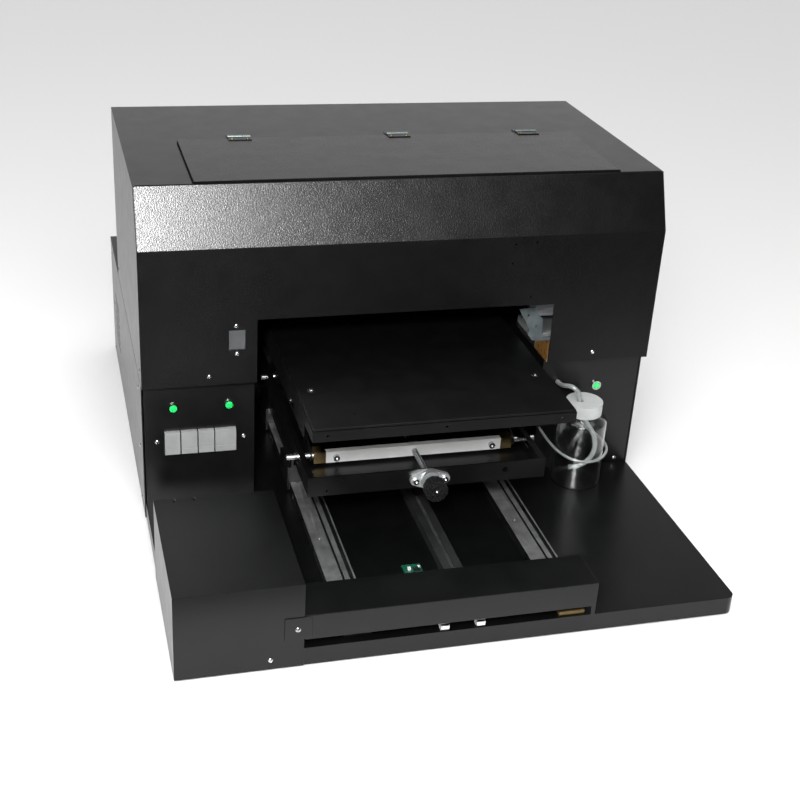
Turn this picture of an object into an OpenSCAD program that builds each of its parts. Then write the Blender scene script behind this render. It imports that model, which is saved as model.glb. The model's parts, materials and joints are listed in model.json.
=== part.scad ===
// Flatbed UV printer: sheet-metal body, moving table with a scissor lift, and a print mechanism
// under the hood. Millimetres, +Z up, +X to the right seen from the front, +Y towards the back.
// The origin is on the floor, under the middle of the body.

/* [Overall size] */
// Width across the side panels
body_w = 720; // [714:1:726]
// Depth from the front lip to the rear panel
body_d = 930; // [926:1:936]
// Height of the hood above the floor
body_h = 474.5; // [470:0.5:485]
// How far the base reaches in front of the hood
apron_d = 344; // [338:1:350]
// Height of the base plate above the floor
base_h = 26.3; // [26:0.1:27]
// Sheet metal thickness
sheet = 1.5; // [1.2:0.1:2]

/* [Hood and legs] */
// Height of the seam between legs and hood
seam_z = 207.7; // [206.5:0.1:210]
// Depth of the hood
hood_d = 406; // [400:1:412]
// Height at which the front starts to slope back
bevel_z = 400; // [390:1:410]
// How far the slope leans back
bevel_run = 32.6; // [28:0.1:36]
// Half the width of the front opening
mouth_hw = 207; // [204:1:209]
// Height of the top of the front opening
mouth_z = 299; // [292:1:304]

/* [Table and lift] */
// Half the width of the print platen
platen_hw = 172; // [170:1:175]
// Depth of the print platen
platen_d = 430; // [420:1:440]
// Height of the platen's top face
platen_z = 237; // [236:0.5:238]
// Half the width of the lift tray
tray_hw = 163; // [162:1:164]
// Depth of the lift tray
tray_d = 410; // [400:1:415]
// Height of the lift tray's floor
tray_z = 105; // [105:0.1:105.5]
// Length of a scissor link between its end pivots
link_len = 260; // [258:1:262]

/* [Controls and fittings] */
// Radius of the lift knob
knob_r = 15.5; // [13:0.5:18]
// Radius of a push button
button_r = 5; // [4:0.1:5.2]
// Width of a carriage rail
rail_w = 38; // [36:0.5:38]
// Radius of the waste bottle
bottle_r = 36; // [34:0.5:37]
// Height of the waste bottle without its cap
bottle_h = 113; // [100:1:116]

/* [Hidden] */
$fn = 48;
eps = 0.01;

front_y = -body_d / 2;
rear_y = body_d / 2;
hood_y = front_y + apron_d;
hood_back_y = hood_y + hood_d;
half_w = body_w / 2;
foot_h = 2;
pan_hw = half_w - sheet;
pan_y0 = front_y + sheet;
pan_y1 = rear_y - sheet;
pan_corner_r = 12;
flange_w = 25;
leg_y = hood_y + 16;
leg_z = seam_z - 1.7;
leg_in = mouth_hw + 1;
leg_out = half_w - 3;

// Low box on the left of the apron, and the cover over the rails' front ends
box_x1 = -mouth_hw;
box_y1 = hood_y - 130;
box_z = 118;
cover_x1 = 162;
cover_y1 = front_y + 64;
cover_z0 = 39.6;
cover_z1 = 74;
flange_z0 = 41.5;
flange_z1 = 72.5;

// Rails, belt and carriage
rail_x = [-138.5, 133.5];
rail_z = 42;
rail_y0 = front_y + 14;
rail_y1 = rear_y - 26;
belt_x = 10;
belt_hw = 5;
belt_t = 1.5;
pulley_r = 11;
pulley_z = 22;
idler_y = front_y + 40;
motor_y = rear_y - 40;
channel_hw = 13;
channel_z = 40;
slot_hw = 2.5;
block_y = [hood_y + 40, hood_y + 220];
block_d = 60;
block_z = 66;

// Scissor lift
pivot_z = 119;
rear_pivot_y = hood_y + 193;
lift_h = 86;
top_pivot_z = pivot_z + lift_h;
link_angle = asin(lift_h / link_len);
front_pivot_y = rear_pivot_y - link_len * cos(link_angle);
shaft_r = 4;
link_t = 3;
link_hw = 8;
front_link_x = 142;
rear_link_x = 146.5;
mid_pin_r = 3;
pivot_slack = 1.8;
tray_y0 = hood_y - 135;
tray_y1 = tray_y0 + tray_d;
tray_h = 28;
tray_t = 2;
bar_hl = 124;
bar_z0 = 111.5;
bar_h = 17;
bar_d = 9;
bar_y0 = front_pivot_y - 10.6;
block_l = 16;
screw_r = 4;
screw_fit = 0.05;
knob_y1 = tray_y0 - 15;
knob_y0 = knob_y1 - 22;

// Platen
platen_y0 = hood_y - 195;
platen_y1 = platen_y0 + platen_d;
plate_t = 3.5;
skirt_z = platen_z - 18;
skirt_side_z = platen_z - 39;

// Lid and hinges
lid_x0 = -283;
lid_x1 = 298;
lid_y0 = hood_y + 40;
lid_y1 = hood_y + 227.8;
lid_t = 2;
hinge_x = [-197, 32, 228];
hinge_y = lid_y1 + 2.7;
hinge_z = body_h + 2.7;
hinge_hl = 16;
knuckle_r = 2.2;
pin_r = 0.8;

// Controls on the legs: [x, z] on the leg's front face
button_at = [[-318, 170], [-243, 170], [294, 159.5]];
key_x = [[-330.5, -310], [-308.5, -286.8], [-285.2, -264], [-262.5, -234]];
key_z0 = 101.5;
key_z1 = 134.5;
key_proud = 6;
tube_hole = [234, 168.5];
drain_holes = [[214, 93.5], [275, 95.6]];
button_fit = 0.35;

// Print mechanism
mech_hw = 300;
mech_y0 = hood_y + 61;
mech_y1 = hood_y + 183;
mech_z0 = 262;
mech_z1 = 420;
rod_y = hood_y + 141;
rod_z = 330;
rod_r = 6;
head_x0 = 185;
head_x1 = 295;
head_y0 = hood_y + 81;
head_y1 = hood_y + 156;
head_z0 = 241;
head_z1 = 345;
tunnel_hw = 192;
tunnel_z = 266;

// Rear fittings
fan_x = -260;
fan_z = 110;
rocker_y = rear_y - 2;
rocker_z = 96.5;

// Waste bottle and its tubes
bottle_x = 260;
bottle_y = hood_y - 25;
cap_r = 26.5;
cap_h = 18;
neck_r = 24;
tube_r = 3.5;
drain_r = 2;
tube_sides = 8;
waste_route = [
    [234, -98, 168], [234, -112, 169], [235, -124, 172], [238, -134, 176], [242, -141, 177],
    [247, -145, 173], [251, -146, 166], [253, -146, 157], [255, -146, 146], [260, -146, 133],
    [268, -146, 120], [277, -146, 107], [284, -146, 93], [286, -146, 78], [282, -146, 64],
    [273, -146, 54], [261, -146, 49], [249, -146, 49]
];
drain_route = [
    [214, -96, 94], [214, -111, 93], [215, -126, 91], [218, -143, 88], [223, -160, 85],
    [232, -174, 82], [244, -183, 80], [258, -186, 79], [272, -184, 79], [285, -177, 80],
    [295, -166, 82], [300, -152, 84], [299, -137, 87], [293, -124, 90], [284, -114, 93],
    [277, -107, 95], [273, -101, 96], [273, -94, 96]
];

// Basic shapes
module slab(a, b) {
    translate(a)
        cube([b[0] - a[0], b[1] - a[1], b[2] - a[2]]);
}

module x_rod(x0, x1, y, z, r) {
    translate([x0, y, z])
        rotate([0, 90, 0])
            cylinder(r = r, h = x1 - x0);
}

module y_rod(x, y0, y1, z, r) {
    translate([x, y0, z])
        rotate([-90, 0, 0])
            cylinder(r = r, h = y1 - y0);
}

module z_rod(x, y, z0, z1, r) {
    translate([x, y, z0])
        cylinder(r = r, h = z1 - z0);
}

// Extrudes a profile drawn as [y, z] along X
module along_x(x0, x1) {
    translate([x0, 0, 0])
        rotate([90, 0, 90])
            linear_extrude(x1 - x0)
                children();
}

// Extrudes a profile drawn as [x, z] along Y
module along_y(y0, y1) {
    translate([0, y1, 0])
        rotate([90, 0, 0])
            linear_extrude(y1 - y0)
                children();
}

module both_sides() {
    children();
    mirror([1, 0, 0])
        children();
}

// Open-bottomed sheet cover between two corners
module sheet_cover(a, b) {
    difference() {
        slab(a, b);
        slab([a[0] + sheet, a[1] + sheet, a[2] - 1], [b[0] - sheet, b[1] - sheet, b[2] - sheet]);
    }
}

// Round-ended slot through a wall that faces X
module x_slot(x0, x1, y0, y1, z, r) {
    slab([x0, y0, z - r], [x1, y1, z + r]);
    x_rod(x0, x1, y0, z, r);
    x_rod(x0, x1, y1, z, r);
}

// Pan-head screw with a cross recess, seated at the origin with its head along -Y
module screw_head(r = 3.2, h = 1.5) {
    difference() {
        y_rod(0, -h, 0, 0, r);
        slab([-0.4, -h - 1, -r * 0.6], [0.4, -h * 0.5, r * 0.6]);
        slab([-r * 0.6, -h - 1, -0.4], [r * 0.6, -h * 0.5, 0.4]);
    }
}

// Tube swept along a route with a polygon of "sides" corners
function unit(v) = v / norm(v);
function route_dir(p, i) =
    unit(p[min(i + 1, len(p) - 1)] - p[max(i - 1, 0)]);
function side_dir(d) = unit(cross(d, abs(d[2]) > 0.9 ? [0, 1, 0] : [0, 0, 1]));
function ring_dirs(p, i = 0, last = [0, 0, 0]) =
    let (d = route_dir(p, i))
    let (s = i == 0 ? side_dir(d) : unit(last - (last * d) * d))
    i == len(p) - 1 ? [s] : concat([s], ring_dirs(p, i + 1, s));
function spline(p, i, t) =
    let (a = p[max(i - 1, 0)], b = p[i], c = p[i + 1], d = p[min(i + 2, len(p) - 1)])
    0.5 * (2 * b + (c - a) * t + (2 * a - 5 * b + 4 * c - d) * t * t
        + (3 * b - a - 3 * c + d) * t * t * t);
function smooth_route(p, n) =
    [for (i = [0:len(p) - 2]) for (k = [0:n - 1]) spline(p, i, k / n), p[len(p) - 1]];

module tube(path, r, sides) {
    count = len(path);
    dirs = ring_dirs(path);
    points = [
        for (i = [0:count - 1]) let (d = route_dir(path, i), s = dirs[i], u = cross(d, s))
            for (k = [0:sides - 1])
                path[i] + r * (cos(360 * k / sides) * s + sin(360 * k / sides) * u)
    ];
    walls = [
        for (i = [0:count - 2]) for (k = [0:sides - 1])
            let (n = (k + 1) % sides)
            [i * sides + k, (i + 1) * sides + k, (i + 1) * sides + n, i * sides + n]
    ];
    ends = [
        [for (k = [0:sides - 1]) k],
        [for (k = [0:sides - 1]) (count - 1) * sides + sides - 1 - k]
    ];
    polyhedron(points = points, faces = concat(walls, ends), convexity = 8);
}

// Base and body panels
module pan_outline(inset) {
    difference() {
        translate([-pan_hw + inset, pan_y0 + inset])
            square([2 * (pan_hw - inset), pan_y1 - pan_y0 - 2 * inset]);
        translate([pan_hw - pan_corner_r, pan_y0 + pan_corner_r])
            difference() {
                translate([0, -pan_corner_r])
                    square([pan_corner_r, pan_corner_r]);
                circle(pan_corner_r - inset);
            }
    }
}

module base_pan() {
    window_y = 17;
    color("#202123")
        difference() {
            translate([0, 0, foot_h])
                linear_extrude(base_h - foot_h)
                    pan_outline(0);
            translate([0, 0, foot_h + sheet])
                linear_extrude(base_h - foot_h - 2 * sheet)
                    pan_outline(sheet);
            slab([-pan_hw + flange_w, pan_y0 + flange_w, 0],
                [pan_hw - flange_w, pan_y1 - flange_w, foot_h + sheet + eps]);
            slab([-4, idler_y - window_y, 10], [24, idler_y + window_y, base_h + 1]);
            slab([-4, motor_y - 22, 10], [72, motor_y + 22, base_h + 1]);
        }
}

module feet() {
    color("#0d0d0d")
        for (x = [-345, 345], y = [-448, 0, 448])
            z_rod(x, y, 0, foot_h, 9);
}

module left_box_cover() {
    color("#232426")
        difference() {
            sheet_cover([-half_w, front_y, foot_h], [box_x1, box_y1, box_z]);
            slab([-pan_hw, pan_y0, 0], [box_x1 + 1, box_y1 + 1, base_h]);
            for (x = [-336, -311])
                slab([x, box_y1 - 9, box_z - 3], [x + 3, box_y1 + 1, box_z + 1]);
        }
}

module front_cover() {
    color("#232426") {
        difference() {
            slab([box_x1 + 1, front_y, cover_z0], [cover_x1, cover_y1, cover_z1]);
            slab([box_x1, front_y + sheet, cover_z0 - 1],
                [cover_x1 - sheet, cover_y1 - sheet, cover_z1 - sheet]);
            slab([box_x1, cover_y1 - sheet - 1, cover_z0 - 1],
                [cover_x1 - sheet, cover_y1 + 1, rail_z + 6]);
        }
        slab([box_x1 - 24, front_y - sheet, flange_z0], [box_x1 + 1 + eps, front_y, flange_z1]);
        slab([box_x1 + 1, front_y - sheet, flange_z0], [box_x1 + 9, front_y + eps, flange_z1]);
        slab([cover_x1 - 6, front_y, base_h], [cover_x1, front_y + sheet, cover_z0 + eps]);
        slab([cover_x1 - sheet, cover_y1 - 8, base_h], [cover_x1, cover_y1, cover_z0 + eps]);
    }
}

// One leg: front face, inner wall and top deck folded from one sheet
module leg_sheet() {
    slab([leg_in, leg_y, base_h], [leg_out, leg_y + sheet, leg_z]);
    slab([leg_in, leg_y, base_h], [leg_in + sheet, hood_back_y, leg_z]);
    slab([leg_in, leg_y, leg_z - sheet], [leg_out, hood_back_y, leg_z]);
}

module button_hole(i) {
    y_rod(button_at[i][0], leg_y - 1, leg_y + sheet + 1, button_at[i][1], button_r + 1.1);
}

module left_leg() {
    color("#1c1d1f")
        difference() {
            mirror([1, 0, 0])
                leg_sheet();
            button_hole(0);
            button_hole(1);
            slab([key_x[0][0] - 1, leg_y - 1, key_z0 - 1],
                [key_x[3][1] + 1, leg_y + sheet + 1, key_z1 + 1]);
        }
}

module right_leg() {
    color("#1c1d1f")
        difference() {
            leg_sheet();
            button_hole(2);
            y_rod(tube_hole[0], leg_y - 1, leg_y + sheet + 1, tube_hole[1], tube_r + 1.5);
            for (at = drain_holes)
                y_rod(at[0], leg_y - 1, leg_y + sheet + 1, at[1], drain_r + 2.2);
        }
}

module side_panels() {
    color("#222325")
        both_sides()
            difference() {
                slab([pan_hw, leg_y, foot_h], [half_w, pan_y1, leg_z]);
                for (z = [60:14:130])
                    x_slot(pan_hw - 1, half_w + 1, hood_back_y + 30, hood_back_y + 110, z, 2);
            }
}

module rear_panel() {
    color("#1e1f21")
        difference() {
            slab([-half_w, pan_y1, foot_h], [half_w, rear_y, leg_z]);
            y_rod(fan_x, pan_y1 - 1, rear_y + 1, fan_z, 38);
            slab([251, pan_y1 - 1, 56], [279, rear_y + 1, 76]);
            slab([255, pan_y1 - 1, rocker_z - 8], [275, rear_y + 1, rocker_z + 8]);
            slab([206, pan_y1 - 1, 60], [218, rear_y + 1, 71]);
        }
}

// Deck over the rear of the body with a raised tunnel that the platen runs into
module rear_cover() {
    color("#202123")
        difference() {
            union() {
                slab([-pan_hw, hood_back_y, leg_z - sheet], [pan_hw, pan_y1, leg_z]);
                slab([-tunnel_hw, hood_back_y, leg_z - sheet], [tunnel_hw, pan_y1, tunnel_z]);
            }
            slab([-tunnel_hw + sheet, hood_back_y - 1, leg_z - 3],
                [tunnel_hw - sheet, pan_y1 - sheet, tunnel_z - sheet]);
        }
}

// Outline of the hood's side as [y, z]
module hood_side_outline() {
    polygon([
        [hood_y, seam_z], [hood_back_y, seam_z], [hood_back_y, body_h],
        [hood_y + bevel_run, body_h], [hood_y, bevel_z]
    ]);
}

module hood_shell() {
    color("#242528")
        difference() {
            union() {
                both_sides()
                    along_x(pan_hw, half_w)
                        hood_side_outline();
                slab([-pan_hw - eps, hood_y + bevel_run, body_h - sheet],
                    [pan_hw + eps, hood_back_y, body_h]);
                slab([-pan_hw - eps, hood_back_y - sheet, seam_z], [pan_hw + eps, hood_back_y, body_h]);
            }
            slab([lid_x0 + 14, lid_y0 + 16, body_h - 3], [lid_x1 - 14, lid_y1 - 14, body_h + 1]);
            slab([-tunnel_hw + 3, hood_back_y - 3, seam_z - 1],
                [tunnel_hw - 3, hood_back_y + 1, tunnel_z - 3]);
        }
}

module hood_front() {
    slant = sheet / cos(atan(bevel_run / (body_h - bevel_z)));
    color("#17181a")
        difference() {
            along_x(-pan_hw, pan_hw)
                polygon([
                    [hood_y, seam_z], [hood_y + sheet, seam_z], [hood_y + sheet, bevel_z],
                    [hood_y + bevel_run + slant, body_h - sheet], [hood_y + bevel_run, body_h - sheet],
                    [hood_y + bevel_run, body_h], [hood_y, bevel_z]
                ]);
            slab([-mouth_hw, hood_y - 1, seam_z - 1], [mouth_hw, hood_y + sheet + 1, mouth_z]);
            slab([-245, hood_y - 1, 258.5], [-223, hood_y + sheet + 1, 286]);
            for (at = [[142, 389], [172, 391], [140, 362], [171, 312]])
                y_rod(at[0], hood_y - 1, hood_y + sheet + 1, at[1], 1.4);
        }
}

module window_plate() {
    color("#4a4d50")
        slab([-244.8, hood_y + 0.3, 258.7], [-223.2, hood_y + sheet, 285.8]);
}

module top_lid() {
    color("#26272a") {
        slab([lid_x0, lid_y0, body_h], [lid_x1, lid_y1 - 1, body_h + lid_t]);
        slab([lid_x0 + 16, lid_y0 + 18, body_h - 8], [lid_x1 - 16, lid_y0 + 18 + sheet, body_h + eps]);
    }
}

// Hood half of each hinge, with the pin staked into its knuckle
module hinge_fixed_leaves() {
    color("#303134")
        for (x = hinge_x) {
            x_rod(x - 5, x + 5, hinge_y, hinge_z, knuckle_r);
            x_rod(x - hinge_hl - 0.5, x + hinge_hl + 0.5, hinge_y, hinge_z, pin_r);
            slab([x - 5, hinge_y + 1, body_h], [x + 5, hinge_y + 3.4, body_h + 1.6]);
            slab([x - hinge_hl, hinge_y + 2.8, body_h], [x + hinge_hl, hinge_y + 16, body_h + 1.2]);
        }
}

module hinge_lid_leaves() {
    color("#303134")
        for (x = hinge_x) {
            for (s = [-1, 1])
                difference() {
                    union() {
                        x_rod(x + s * 10.7 - 5.3, x + s * 10.7 + 5.3, hinge_y, hinge_z, knuckle_r);
                        slab([x + s * 10.7 - 5.3, hinge_y - 5, body_h + lid_t],
                            [x + s * 10.7 + 5.3, hinge_y - 1.2, body_h + lid_t + 1.2]);
                    }
                    x_rod(x + s * 10.7 - 6, x + s * 10.7 + 6, hinge_y, hinge_z, pin_r + 0.05);
                }
            slab([x - hinge_hl, hinge_y - 16, body_h + lid_t],
                [x + hinge_hl, hinge_y - 4, body_h + lid_t + 1.2]);
        }
}

module body_screws() {
    face_screws = [[-271, 221], [274, 221], [-235, 292], [-234, 252]];
    leg_screws = [[-340.5, 119.5], [-223, 119.5], [340, 33]];
    color("silver") {
        for (at = face_screws)
            translate([at[0], hood_y, at[1]])
                screw_head();
        for (at = leg_screws)
            translate([at[0], leg_y, at[1]])
                screw_head();
        translate([-247, front_y, 15])
            screw_head();
        translate([box_x1 - 8, front_y - sheet, 56])
            screw_head(3.5);
        both_sides() {
            for (y = [57, 560], z = [185, 95, 12])
                translate([half_w, hood_y + y, z])
                    rotate([0, 0, 90])
                        screw_head();
            for (y = [22, 384])
                translate([half_w, hood_y + y, 226])
                    rotate([0, 0, 90])
                        screw_head();
            for (at = [[345, 190], [345, 20], [200, 190]])
                translate([at[0], rear_y, at[1]])
                    rotate([0, 0, 180])
                        screw_head();
        }
    }
}

// Rails, belt drive and small fittings on the base plate
module rail_outline(x) {
    translate([x - rail_w / 2, base_h])
        polygon([
            [1.5, 0], [rail_w - 1.5, 0], [rail_w - 1.5, 4], [rail_w - 4, 7.8], [rail_w, 11.5],
            [rail_w, 15.7], [rail_w - 2.2, 15.7], [rail_w - 2.2, 11.7], [rail_w - 7.5, 11.7],
            [rail_w - 7.5, 15.7], [rail_w - 14, 15.7], [rail_w - 14, 11.7], [rail_w - 17, 11.7],
            [rail_w - 17, 15.7], [0, 15.7], [0, 11.5], [4, 7.8], [1.5, 4]
        ]);
}

module rails() {
    color("#b9bbbd")
        difference() {
            union()
                for (x = rail_x)
                    along_y(rail_y0, rail_y1)
                        rail_outline(x);
            for (x = rail_x, y = [hood_y - 140:150:rail_y1 - 30])
                z_rod(x - 8.5, y, rail_z - 2, rail_z + 1, 3);
        }
}

module belt_channel() {
    color("#3a3b3d")
        difference() {
            slab([belt_x - channel_hw, front_y + 70, base_h], [belt_x + channel_hw, motor_y - 26, channel_z]);
            slab([belt_x - channel_hw + sheet, front_y + 60, base_h - 1],
                [belt_x + channel_hw - sheet, motor_y - 20, channel_z - sheet]);
            slab([belt_x - slot_hw, front_y + 85, channel_z - 3],
                [belt_x + slot_hw, motor_y - 41, channel_z + 1]);
        }
}

module belt_outline(r) {
    for (y = [idler_y, motor_y])
        translate([y, pulley_z])
            circle(r);
    translate([idler_y, pulley_z - r])
        square([motor_y - idler_y, 2 * r]);
}

module drive_belt() {
    color("#0c0c0d")
        along_x(belt_x - belt_hw, belt_x + belt_hw)
            difference() {
                belt_outline(pulley_r + belt_t);
                belt_outline(pulley_r);
            }
}

module belt_pulley(y) {
    x_rod(belt_x - belt_hw - 0.4, belt_x + belt_hw + 0.4, y, pulley_z, pulley_r - 0.3);
    for (s = [-1, 1])
        x_rod(belt_x + s * (belt_hw + 1) - 0.6, belt_x + s * (belt_hw + 1) + 0.6, y, pulley_z,
            pulley_r + 1.3);
}

module idler_pulley() {
    color("silver")
        difference() {
            belt_pulley(idler_y);
            x_rod(belt_x - 10, belt_x + 10, idler_y, pulley_z, 3.05);
        }
}

module motor_pulley() {
    color("silver")
        difference() {
            belt_pulley(motor_y);
            x_rod(belt_x - 10, belt_x + 10, motor_y, pulley_z, 2.55);
        }
}

// Stepper motor with its shaft, and the bracket and axle of the front idler
module y_motor() {
    color("#2e3033") {
        slab([belt_x + 12, motor_y - 21, 4], [belt_x + 60, motor_y + 21, 46]);
        x_rod(belt_x - 9, belt_x + 12 + eps, motor_y, pulley_z, 2.5);
    }
    color("silver") {
        slab([belt_x + 10, idler_y - 12, base_h - 14], [belt_x + 12, idler_y + 16, channel_z - 2]);
        slab([belt_x - 12, idler_y - 12, base_h - 14], [belt_x - 10, idler_y + 16, channel_z - 2]);
        slab([belt_x - 12, idler_y + 14, base_h + 10], [belt_x + 12, idler_y + 16, channel_z - 2]);
        x_rod(belt_x - 12 - eps, belt_x + 12 + eps, idler_y, pulley_z, 3);
    }
}

// Small fittings on the base plate: sensor board, two cable clips and an earth strap
module base_fittings() {
    board_y = hood_y - 232;
    color("#1f7a4d") {
        slab([-50, board_y, base_h], [-25, board_y + 34, base_h + 1.6]);
        slab([-46, board_y + 18, base_h + 1.6], [-38, board_y + 24, base_h + 8]);
        slab([-36, board_y + 4, base_h + 1.6], [-29, board_y + 16, base_h + 6]);
    }
    color("#e9eae6")
        for (x = [-38, 8])
            difference() {
                slab([x, front_y + 3, base_h], [x + 11, front_y + 14, base_h + 9]);
                x_rod(x - 1, x + 12, front_y + 8.5, base_h + 4.5, 2.5);
            }
    color("#c9a552")
        slab([116, front_y + 5, base_h], [150, front_y + 13, base_h + 6]);
}

// Table: saddle blocks on the rails under two box risers, tray and its fixed shaft
module table_carriage() {
    riser_hw = 18;
    wall = 3;
    grip = rail_w / 2;
    color("#2a2b2e") {
        for (x = rail_x, y = block_y)
            difference() {
                slab([x - grip - 4, y - block_d / 2, 30], [x + grip + 4, y + block_d / 2, block_z]);
                slab([x - grip - 0.5, y - block_d, 29], [x + grip + 0.5, y + block_d, rail_z + 0.5]);
            }
        for (x = rail_x)
            along_y(block_y[0] - block_d / 2, block_y[1] + block_d / 2)
                difference() {
                    translate([x - riser_hw, block_z - eps])
                        square([2 * riser_hw, tray_z - block_z + eps]);
                    translate([x - riser_hw + wall, block_z + wall])
                        square([2 * (riser_hw - wall), tray_z - block_z - 2 * wall]);
                }
    }
}

module belt_clamp() {
    color("#8d9093") {
        slab([belt_x - 6, hood_y + 110, 34.9], [belt_x + 6, hood_y + 150, 37.6]);
        slab([belt_x - 1.5, hood_y + 110, 37.6 - eps], [belt_x + 1.5, hood_y + 150, tray_z - 2 + eps]);
        slab([belt_x - 18, hood_y + 110, tray_z - 2], [belt_x + 18, hood_y + 150, tray_z]);
    }
}

module lift_tray() {
    wall_y1 = rear_pivot_y + 30;
    color("#18191b")
        difference() {
            union() {
                difference() {
                    slab([-tray_hw, tray_y0, tray_z], [tray_hw, tray_y1, tray_z + tray_h]);
                    slab([-tray_hw + tray_t, tray_y0 + tray_t, tray_z + tray_t],
                        [tray_hw - tray_t, tray_y1 - tray_t, tray_z + tray_h + 1]);
                }
                both_sides()
                    slab([tray_hw - 8, tray_y0 + tray_t - eps, tray_z + tray_h - tray_t],
                        [tray_hw - tray_t + eps, tray_y1 - tray_t + eps, tray_z + tray_h]);
            }
            both_sides() {
                x_slot(tray_hw - 9, tray_hw + 1, front_pivot_y - 18, front_pivot_y + 8, pivot_z,
                    shaft_r + 0.3);
                x_rod(tray_hw - 9, tray_hw + 1, rear_pivot_y, pivot_z, shaft_r);
            }
            y_rod(0, tray_y0 - 1, tray_y0 + tray_t + 1, pivot_z, 7);
            y_rod(106, tray_y0 - 1, tray_y0 + tray_t + 1, 121, 4);
            y_rod(-138, tray_y0 - 1, tray_y0 + tray_t + 1, 112, 1.5);
            y_rod(-116, tray_y0 - 1, tray_y0 + tray_t + 1, 126, 1.2);
        }
}

module rear_shaft() {
    color("#c9cbcc")
        x_rod(-tray_hw - 6, tray_hw + 6, rear_pivot_y, pivot_z, shaft_r);
    color("#b08d45")
        both_sides()
            difference() {
                x_rod(front_link_x - 14, rear_link_x - 0.4, rear_pivot_y, pivot_z, 7.5);
                x_rod(front_link_x - 15, rear_link_x, rear_pivot_y, pivot_z, shaft_r);
            }
}

module flange_bearing() {
    ear = 20;
    color("#a9abad")
        difference() {
            union() {
                y_rod(0, tray_y0 - 11, tray_y0, pivot_z, 14);
                for (s = [-1, 1])
                    y_rod(s * ear, tray_y0 - 6, tray_y0, pivot_z, 7);
                along_y(tray_y0 - 6, tray_y0)
                    polygon([
                        [-ear - 2.8, pivot_z + 6.4], [-5, pivot_z + 13], [5, pivot_z + 13],
                        [ear + 2.8, pivot_z + 6.4], [ear + 2.8, pivot_z - 6.4], [5, pivot_z - 13],
                        [-5, pivot_z - 13], [-ear - 2.8, pivot_z - 6.4]
                    ]);
                for (s = [-1, 1])
                    y_rod(s * ear, tray_y0 - 9, tray_y0 - 6 + eps, pivot_z, 4);
            }
            y_rod(0, tray_y0 - 12, tray_y0 + 1, pivot_z, screw_r + screw_fit);
            for (s = [-1, 1])
                y_rod(s * ear, tray_y0 - 10, tray_y0 - 7, pivot_z, 2);
        }
}

// Moving bar of the lift, its shafts and nut
module lift_bar() {
    color("#d8d9da")
        difference() {
            slab([-bar_hl, bar_y0, bar_z0], [bar_hl, bar_y0 + bar_d, bar_z0 + bar_h]);
            y_rod(0, bar_y0 - 1, bar_y0 + bar_d + 1, pivot_z, screw_r + 0.4);
        }
    color("#77797c")
        for (s = [-1, 1])
            difference() {
                y_rod(s * 110, bar_y0 - 5, bar_y0, pivot_z + 1, 4.2);
                y_rod(s * 110, bar_y0 - 6, bar_y0 - 2.5, pivot_z + 1, 2.2);
            }
}

module front_shafts() {
    color("#c9cbcc")
        both_sides()
            x_rod(bar_hl, tray_hw + 13, front_pivot_y, pivot_z, shaft_r);
}

// Blocks that carry the shafts at the bar's ends, and the nut behind the bar
module brass_fittings() {
    nut_y0 = bar_y0 + bar_d;
    color("#9c7a3c") {
        both_sides()
            difference() {
                slab([bar_hl, bar_y0, bar_z0], [bar_hl + block_l, front_pivot_y + 7.5, bar_z0 + bar_h]);
                x_rod(bar_hl - 1, bar_hl + block_l + 1, front_pivot_y, pivot_z, shaft_r);
            }
        difference() {
            union() {
                y_rod(0, nut_y0, nut_y0 + 5, pivot_z, 11);
                y_rod(0, nut_y0 + 5 - eps, nut_y0 + 20, pivot_z, 7.5);
            }
            y_rod(0, nut_y0 - 1, nut_y0 + 21, pivot_z, screw_r + screw_fit);
        }
    }
}

module lead_screw() {
    color("#a9abad")
        y_rod(0, knob_y0 + 6, bar_y0 + bar_d + 42, pivot_z, screw_r);
}

module lift_knob() {
    color("#141415")
        difference() {
            union() {
                y_rod(0, knob_y0, knob_y0 + 14, pivot_z, knob_r);
                y_rod(0, knob_y0 + 14 - eps, knob_y1, pivot_z, knob_r * 0.72);
            }
            y_rod(0, knob_y0 + 5, knob_y1 + 1, pivot_z, screw_r);
            y_rod(0, knob_y0 - 1, knob_y0 + 3, pivot_z, 6.5);
            for (a = [0:30:330])
                rotate_about_screw(a)
                    y_rod(knob_r + 1, knob_y0 - 1, knob_y0 + 15, pivot_z, 2);
        }
    color("#c9cbcc")
        difference() {
            y_rod(0, knob_y0 + 0.5, knob_y0 + 5 + eps, pivot_z, 5);
            y_rod(0, knob_y0 - 1, knob_y0 + 2.5, pivot_z, 2.2);
        }
}

module rotate_about_screw(a) {
    translate([0, 0, pivot_z])
        rotate([0, a, 0])
            translate([0, 0, -pivot_z])
                children();
}

// Scissor links: a flat bar drawn along +Y from its lower eye, tilted to the lift angle
module link_bar(x, hole_a, hole_mid, hole_b) {
    difference() {
        union() {
            slab([x, 0, -link_hw], [x + link_t, link_len, link_hw]);
            x_rod(x, x + link_t, 0, 0, link_hw);
            x_rod(x, x + link_t, link_len, 0, link_hw);
        }
        if (hole_a > 0)
            x_rod(x - 1, x + link_t + 1, 0, 0, hole_a);
        if (hole_mid > 0)
            x_rod(x - 1, x + link_t + 1, link_len / 2, 0, hole_mid);
        if (hole_b > 0)
            x_rod(x - 1, x + link_t + 1, link_len, 0, hole_b);
    }
}

module front_links() {
    color("#2c2d30")
        both_sides()
            translate([0, front_pivot_y, pivot_z])
                rotate([link_angle, 0, 0]) {
                    link_bar(front_link_x, shaft_r + 0.05, mid_pin_r + pivot_slack, 0);
                    x_rod(front_link_x - 3, front_link_x + eps, link_len, 0, 6);
                    x_rod(front_link_x + link_t - eps, platen_hw + 1, link_len, 0, shaft_r);
                }
}

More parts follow.
